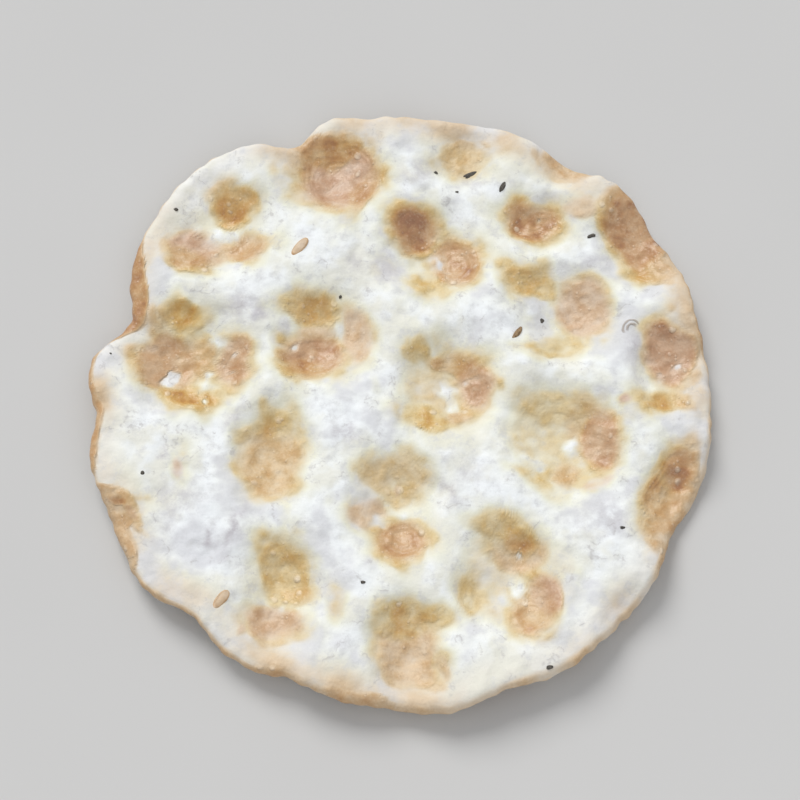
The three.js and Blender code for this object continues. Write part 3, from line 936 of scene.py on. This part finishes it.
# %% Crust relief
WRINKLE_MM, WRINKLE_WANDER = 2.0, 14.0
GRAIN_MM, WRINKLE_HIGH_MM, CRINKLE_MM, BLISTER_MM, POPPED_MM = 0.14, 0.06, 0.8, 0.45, 0.2
BLISTER_SIZES = ((330.0, 0.42), (900.0, 0.5))  # cells in a metre, radius in cells
SMALL_BLISTERS = 0.4  # the small ones' height beside the large ones'


def wrinkle_height(tree, place, brown, inside):
    """Sine of the distance inside the rim, shifted by noise so that the rings break up."""
    shift = noise(tree, place, 90.0, 1.0)
    turn = plus(tree, times(tree, inside, math.tau / WRINKLE_MM),
                times(tree, shift, WRINKLE_WANDER))
    where = times(tree, soft_step(tree, inside, 0.3, 2.0), brown)
    patchy = soft_step(tree, shift, 0.42, 0.6)
    return times(tree, calculate(tree, "SINE", turn), times(tree, where, patchy))


def blister_height(tree, place, brown, scale, largest):
    """Dome of each cell: its radius squared less the distance squared, where positive. The
    radius is the largest one times a power of the cell's random number."""
    cells = add(tree, "TexVoronoi", Vector=place, Scale=scale)
    random = add(tree, "SeparateColor", Color=cells.outputs["Color"]).outputs["Red"]
    radius = times(tree, calculate(tree, "POWER", random, 1.5), largest)
    away = calculate(tree, "POWER", cells.outputs["Distance"], 2.0)
    dome = minus(tree, calculate(tree, "POWER", radius, 2.0), away)
    dome = times(tree, calculate(tree, "MAXIMUM", dome, 0.0), largest ** -2)
    patches = soft_step(tree, noise(tree, place, scale / 3, 1.0), 0.42, 0.56)
    return times(tree, dome, times(tree, soft_step(tree, brown, 0.3, 0.5), patches))


POPPED_X, POPPED_Y, POPPED_RADIUS = 64.0, 19.8, 2.4
POPPED_SHADED_SIDE = (-0.5, 0.87, 0.0)  # the direction in which its curls lie
POPPED_CURLS = (1.25, 0.75)  # their distances from its middle, in radii


def popped_blister(tree, place):
    """A blister that popped and left two nested curls of skin: the distance from its middle,
    wandering a little, then a soft line at each of two radii, on its far left side only. The
    dark colour laid on these curls is partly painted shade."""
    z = face_heights(np.array([POPPED_X]), np.array([POPPED_Y]))[0][0]
    spot = np.array([POPPED_X - middle[0], POPPED_Y - middle[1], z]) * METRES_PER_MM
    offset = add(tree, "VectorMath", {"operation": "SUBTRACT"})
    offset = feed(tree, offset, {0: place, 1: spot}).outputs["Vector"]
    length = feed(tree, add(tree, "VectorMath", {"operation": "LENGTH"}), {0: offset})
    facing = feed(tree, add(tree, "VectorMath", {"operation": "DOT_PRODUCT"}),
                  {0: offset, 1: POPPED_SHADED_SIDE})
    per_radius = 1.0 / (POPPED_RADIUS * METRES_PER_MM)
    share = times(tree, length.outputs["Value"], per_radius)
    share = plus(tree, share, times(tree, noise(tree, place, 420.0, 1.0), 0.6))
    mask = 0.0
    for curl_at in POPPED_CURLS:
        gap = calculate(tree, "ABSOLUTE", minus(tree, share, curl_at))
        line = minus(tree, 1.0, soft_step(tree, gap, 0.04, 0.2))
        mask = calculate(tree, "MAXIMUM", line, mask)
    side = times(tree, facing.outputs["Value"], per_radius)
    return times(tree, mask, soft_step(tree, side, -0.2, 0.35))


# %% The crust's material, put together
GRAIN_SCALE, FLECK_SCALE = 260.0, 350.0
BLISTER_PALE_AND_GLINT_COLOUR, POPPED_CURL_AND_SHADE_COLOUR = "#f3e3cb", "#9a8672"
FLOURY_ROUGHNESS, GLAZED_ROUGHNESS = 0.85, 0.4


def make_crust_material():
    """Browned dough: the colour, the blisters' lighter tops, which are partly a painted
    highlight, roughness and bump.
    """
    material, tree, shader, place = new_material("crust")
    brown, pink, inside, smudged = (
        add(tree, "Attribute", {"attribute_name": name}).outputs["Fac"]
        for name in ("brown", "pink", "inside", "smudged"))
    _, grain = add_grain(tree, place, GRAIN_SCALE)
    flecks, _ = add_grain(tree, place, FLECK_SCALE)
    colour, baked = crust_colour(tree, place, brown, pink, smudged, flecks)
    large, small = (blister_height(tree, place, brown, *size) for size in BLISTER_SIZES)
    blisters = plus(tree, large, times(tree, small, SMALL_BLISTERS))
    # The popped blister's dark curls are partly painted shade.
    popped = popped_blister(tree, place)
    # The blisters' pale colour is partly a painted highlight on their domes.
    for mask, strength, code in ((blisters, 0.8, BLISTER_PALE_AND_GLINT_COLOUR), (popped, 0.6, POPPED_CURL_AND_SHADE_COLOUR)):
        colour = blend_colours(tree, times(tree, mask, strength), colour, paint(code))
    glazed = soft_step(tree, baked, 0.2, 0.6)
    rough = add(tree, "MapRange", Value=glazed, To_Min=FLOURY_ROUGHNESS,
                To_Max=GLAZED_ROUGHNESS)
    crinkled = times(tree, noise(tree, place, 250.0, 1.5, 0.45), glazed)
    height = 0.0
    for part, millimetres in (
            (grain, GRAIN_MM), (wrinkle_height(tree, place, brown, inside), WRINKLE_HIGH_MM),
            (crinkled, CRINKLE_MM), (blisters, BLISTER_MM), (popped, POPPED_MM)):
        height = plus(tree, times(tree, part, millimetres), height)
    bump = add(tree, "Bump", Height=height, Distance=METRES_PER_MM, Strength=1.0)
    feed(tree, shader, {
        "Base Color": colour, "Roughness": rough.outputs["Result"],
        "Specular IOR Level": 0.5, "Normal": bump.outputs["Normal"]})
    return material


crust.data.materials.append(make_crust_material())
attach(crust, "root")
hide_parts("flatbread")
print("crust:", len(crust.data.polygons), "faces")

# %% [markdown]
# ## Seeds, leaf flakes and pepper
#
# A few whole seeds, bits of dark leaf and pepper specks were kneaded in and baked onto the
# skin. Each kind is one mesh, so the whole kind is worked out as one array: first index the
# bit, then along it, then around it. A bit lies along the skin, also where the edge is
# rounded off, turned to the skin's slope and sunk a little into it. Two seeds are still
# covered by a film of dough, darker low down where it meets the sheet and at one tip, so they
# get the crust's own finish.


# %% Where the skin is, and how it slopes
def skin_heights(x, y):
    """Heights of both faces where the edge is rounded off: past the edge strip's inner ring
    they are the ring's own, drawn together by the half circle of the strip's section."""
    ring_at = edge_radius(np.arctan2(y, x)) - EDGE_ROUND
    past = np.hypot(x, y) - ring_at
    pull = np.where(past > 0, ring_at / np.hypot(x, y), 1)
    top, under = face_heights(x * pull, y * pull)
    half = (top - under) / 2 * np.sqrt(1 - np.clip(past / EDGE_ROUND, 0, 0.98) ** 2)
    return (top + under) / 2 + half, (top + under) / 2 - half


def lie_on_skin(x, y, turn, top):
    """For each bit: its place on the skin, and three directions there: along the bit, across
    it and out of the skin. The slopes are differences over half a millimetre."""
    step, face, side = (0.5, 0, 1) if top else (0.5, 1, -1)
    here = skin_heights(x, y)[face]
    slope_x = (skin_heights(x + step, y)[face] - here) / step
    slope_y = (skin_heights(x, y + step)[face] - here) / step
    out = side * np.stack([-slope_x, -slope_y, np.ones_like(x)], -1)
    out /= np.linalg.norm(out, axis=-1, keepdims=True)
    heading = np.stack([np.cos(turn), np.sin(turn), np.zeros_like(x)], -1)
    along = heading - out * (heading * out).sum(-1, keepdims=True)
    along /= np.linalg.norm(along, axis=-1, keepdims=True)
    return np.stack([x, y, here], -1), np.stack([along, np.cross(out, along), out], 1)


def lay_bits(rows, top, sunk, unit):
    """Places of all bits of one kind. A row is x, y, turn in degrees, long, wide, thick, and
    unit holds coordinates from -1 to 1, which each bit scales by its half sizes and lays
    along its own three directions, with its middle sunk by a share of its thickness."""
    x, y, turn, long, wide, thick = np.array(rows, float).T
    on_skin, axes = lie_on_skin(x, y, np.radians(turn), top)
    centre = on_skin - (sunk * thick)[:, None] * axes[:, 2]
    scaled = unit * (np.stack([long, wide, thick], -1) / 2)[:, None, None, :]
    return centre[:, None, None, :] + np.einsum("bsac,bcd->bsad", scaled, axes)


def make_bits(name, place, slot, material, **attributes):
    """One mesh of all bits: a tube of quads for each, and a small face at either end."""
    count, stations, around = place.shape[:3]
    ids = np.arange(count * stations * around).reshape(count, stations, around)
    ahead = np.roll(ids, -1, 2)
    quads = np.stack([ids[:, :-1], ahead[:, :-1], ahead[:, 1:], ids[:, 1:]], -1).reshape(-1, 4)
    faces = quads.tolist() + ids[:, 0, ::-1].tolist() + ids[:, -1].tolist()
    piece = make_piece(name, *place.reshape(-1, 3).T, faces, **attributes)
    piece.data.materials.append(material)
    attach(piece, "root")
    print(f"{name}: {count} bits, {len(faces)} faces")


# %% Forms of a seed, a covered seed and a crumb
def tube_angles(stations, around, tip):
    """The two parameters of a closed form: an angle from one tip to the other, and one
    around, shaped to spread over bits, stations and steps."""
    lean = np.linspace(tip, math.pi - tip, stations)[None, :, None]
    turn = np.linspace(0, math.tau, around, endpoint=False)[None, None, :]
    return lean, turn


SEED_SHAPE = {"stations": 26, "around": 35, "fullness": 1.25, "ridge": 0.08, "bend": 0.3}
FILM_SHAPE = {"stations": 30, "around": 36, "fullness": 0.9}


def seed_form(count, stations, around, fullness, ridge=0.0, bend=0.0):
    """A spindle, whose width is a power of the sine of the angle from its tip, with seven low
    ridges around, and bent a little sideways. The film of dough over a covered seed is the
    same without ridges or bend, and plumper."""
    lean, turn = tube_angles(stations, around, 0.08)
    width = np.sin(lean) ** fullness * (1 + ridge * np.cos(7 * turn))
    aside = bend * (np.cos(lean) ** 2 - 0.4)
    form = (-np.cos(lean), width * np.cos(turn) + aside, width * np.sin(turn))
    return np.repeat(np.stack(np.broadcast_arrays(*form), -1), count, 0)


def crumb_form(count, seed, stations=12, around=16):
    """A lumpy bit: a ball whose distance from its middle is moved by three cosines with
    random phases, another for each bit."""
    lean, turn = tube_angles(stations, around, 0.15)
    phase = np.random.default_rng(seed).uniform(0, math.tau, (3, count, 1, 1))
    size = 1 + 0.22 * np.cos(2 * turn + phase[0]) * np.sin(lean)
    size = size + 0.12 * np.cos(3 * lean + phase[1]) + 0.12 * np.cos(3 * turn + phase[2])
    form = (-np.cos(lean), np.sin(lean) * np.cos(turn), np.sin(lean) * np.sin(turn))
    return np.stack(np.broadcast_arrays(*(size * part for part in form)), -1)


# %% Materials of seeds and leaf
DRY_BUMP_METRES, DRY_BUMP_STRENGTH = 0.0002, 0.6


def make_dry_material(name, light, dark, scale, rough):
    """A dry kitchen bit: two colours mixed by the grain, and the grain's height as bump."""
    material, tree, shader, place = new_material(name)
    mask, height = add_grain(tree, place, scale)
    spread = add(tree, "MapRange", Value=mask, From_Min=0.38, From_Max=0.62)
    colour = blend_colours(tree, spread.outputs["Result"], paint(dark), paint(light))
    bump = add(tree, "Bump", Height=height, Distance=DRY_BUMP_METRES,
               Strength=DRY_BUMP_STRENGTH)
    feed(tree, shader, {"Base Color": colour, "Roughness": rough,
                        "Normal": bump.outputs["Normal"]})
    return material


toasted_seed = make_dry_material("toasted_seed", "#b0926a", "#6d5238", 1300.0, 0.5)
dark_leaf = make_dry_material("dark_leaf", "#6c665d", "#383530", 1600.0, 0.7)

# %% Place them
SUNK, FILM_SUNK = 0.08, 0.2
SEEDS_TOP = [(32.3, 18.8, 52, 6.0, 1.6, 1.5)]
SEEDS_UNDER = [(-14, 38, 100, 5.0, 1.7, 1.5), (30, -27, 20, 5.0, 1.7, 1.5)]
COVERED = [(-28.5, 43.8, 50, 6.8, 2.9, 1.8), (-47.3, -57.5, 52, 6.8, 2.9, 1.8)]
FLAKES_TOP = [(20, 68.3, 20, 3.6, 2.0, 1.2), (29, 63, 60, 3.2, 1.1, 0.9)]
SPECKS_TOP = [
    (-64, 56.8, 0, 1.4, 1.1, 0.7), (-69.5, -22.8, 40, 1.2, 0.9, 0.7), (10, 68.3, 0, 1.3, 1.1, 0.8),
    (54, 48.3, 20, 2.2, 1.3, 0.8), (39.5, 23.5, 0, 1.3, 1.2, 0.8), (-17, 30, 70, 1.3, 1.0, 0.8),
    (-10, -53, 0, 1.2, 1.0, 0.7), (59, -38, 0, 1.3, 1.0, 0.7),
    (38.6, -75.6, 10, 1.6, 1.0, 0.7), (16, 62, 0, 0.9, 0.8, 0.6), (-80, 12, 0, 0.7, 0.6, 0.5),
]
SPECKS_UNDER = [
    (-30, 10, 0, 1.3, 1.0, 0.7), (12, 66, 40, 1.2, 0.9, 0.7), (34, 8, 0, 1.4, 1.1, 0.8),
    (-55, 38, 20, 1.2, 1.0, 0.7), (20, -25, 0, 1.1, 1.0, 0.7), (-38, -40, 60, 1.5, 1.0, 0.8),
    (60, 30, 0, 1.0, 0.9, 0.7), (20, -60, 30, 1.3, 1.0, 0.7),
]
seed_place = np.concatenate([
    lay_bits(SEEDS_TOP, True, SUNK, seed_form(len(SEEDS_TOP), **SEED_SHAPE)),
    lay_bits(SEEDS_UNDER, False, SUNK, seed_form(len(SEEDS_UNDER), **SEED_SHAPE))])
make_bits("seeds", seed_place, "seed", toasted_seed)
flakes = lay_bits(FLAKES_TOP, True, SUNK, crumb_form(len(FLAKES_TOP), 7))
make_bits("leaf_flakes", flakes, "herb", dark_leaf)
speck_place = np.concatenate([
    lay_bits(SPECKS_TOP, True, SUNK, crumb_form(len(SPECKS_TOP), 8)),
    lay_bits(SPECKS_UNDER, False, SUNK, crumb_form(len(SPECKS_UNDER), 9))])
make_bits("pepper_specks", speck_place, "herb", dark_leaf)

# %% The covered seeds, darker low down and at one tip
FILM_BROWN, FILM_MORE, TIP_MORE, FILM_PINK = 0.4, 0.34, 1.2, 0.7
unit = seed_form(len(COVERED), **FILM_SHAPE)
low = 1 - fade(unit[..., 2], 0.2, 0.9)
tip = fade(-unit[..., 0], 0.5, 0.95)
film_brown = FILM_BROWN + FILM_MORE * np.maximum(low, TIP_MORE * tip).ravel()
make_bits("covered_seeds", lay_bits(COVERED, True, FILM_SUNK, unit), "crust",
          crust.data.materials[0], brown=film_brown, pink=FILM_PINK + 0 * film_brown,
          inside=0 * film_brown, smudged=0 * film_brown)

# %% [markdown]
# ## Floor, light and camera
#
# The bread is pale, so the floor is a plain light grey, a little darker than the flour. The
# main light comes low from behind and the left, as from a window, and draws the bowls. A
# weaker one in front and an even light from everywhere open the shadows. Area lamps would
# leave a bright pool on the floor. Sun lamps light it evenly, and a wide angle makes their
# shadows as soft as a window's.

# %% Floor
FLOOR_RADIUS, FLOOR_SIDES = 12.0, 96
FLOOR_GAP = 0.00005
turn = np.linspace(0, math.tau, FLOOR_SIDES, endpoint=False)
ring_place = np.stack([np.cos(turn), np.sin(turn), 0 * turn], -1) * FLOOR_RADIUS
floor_mesh = bpy.data.meshes.new("floor")
floor_mesh.from_pydata((ring_place - (0, 0, FLOOR_GAP)).tolist(), [], [list(range(FLOOR_SIDES))])
floor = bpy.data.objects.new("floor", floor_mesh)
bpy.context.scene.collection.objects.link(floor)
floor_material, floor_tree, floor_shader, floor_place = new_material("floor")
floor_mask, _ = add_grain(floor_tree, floor_place, 3.0)
tone = blend_colours(floor_tree, floor_mask, paint("#cccbc9"), paint("#d3d2d0"))
feed(floor_tree, floor_shader, {"Base Color": tone, "Roughness": 0.95,
                                "Specular IOR Level": 0.1})
floor_mesh.materials.append(floor_material)

# %% Light
world = bpy.data.worlds.new("studio")
world.use_nodes = True
sky = world.node_tree
glow = sky.nodes["Background"]
feed(sky, glow, {"Color": paint("#f4f6fa"), "Strength": 0.49})
wall = add(sky, "Background", Color=paint("#d0d0cf"), Strength=1.0)  # only the camera sees it
seen = add(sky, "LightPath").outputs["Is Camera Ray"]
both = feed(sky, add(sky, "MixShader"), {0: seen, 1: glow.outputs[0], 2: wall.outputs[0]})
feed(sky, sky.nodes["World Output"], {"Surface": both.outputs[0]})
bpy.context.scene.world = world
bpy.context.scene.view_settings.view_transform = "Standard"


def add_sun(name, direction, softness, strength):
    """A sun that shines from a direction. Softness is the angle, in degrees, that it fills
    in the sky, and so how soft its shadows are."""
    light = bpy.data.lights.new(name, "SUN")
    light.angle = math.radians(softness)
    light.energy = strength
    sun = bpy.data.objects.new(name, light)
    sun.location = direction
    sun.rotation_euler = (-sun.location).to_track_quat("-Z", "Y").to_euler()
    bpy.context.scene.collection.objects.link(sun)


add_sun("window", (-0.3, 0.66, 0.62), 30, 2.05)
add_sun("front_fill", (0.3, -0.7, 0.8), 60, 0.45)

# %% Camera
CAMERA_ELEVATION = math.radians(70)
CAMERA_DISTANCE = 0.52
CAMERA_LENS = 85.0
camera = bpy.data.objects.new("camera", bpy.data.cameras.new("camera"))
camera.data.lens = CAMERA_LENS
height, back = math.sin(CAMERA_ELEVATION), math.cos(CAMERA_ELEVATION)
aim = (cad_low + cad_high) / 2
camera.location = aim + CAMERA_DISTANCE * type(aim)((0, -back, height))
camera.rotation_euler = (math.pi / 2 - CAMERA_ELEVATION, 0, 0)
bpy.context.scene.collection.objects.link(camera)
bpy.context.scene.camera = camera
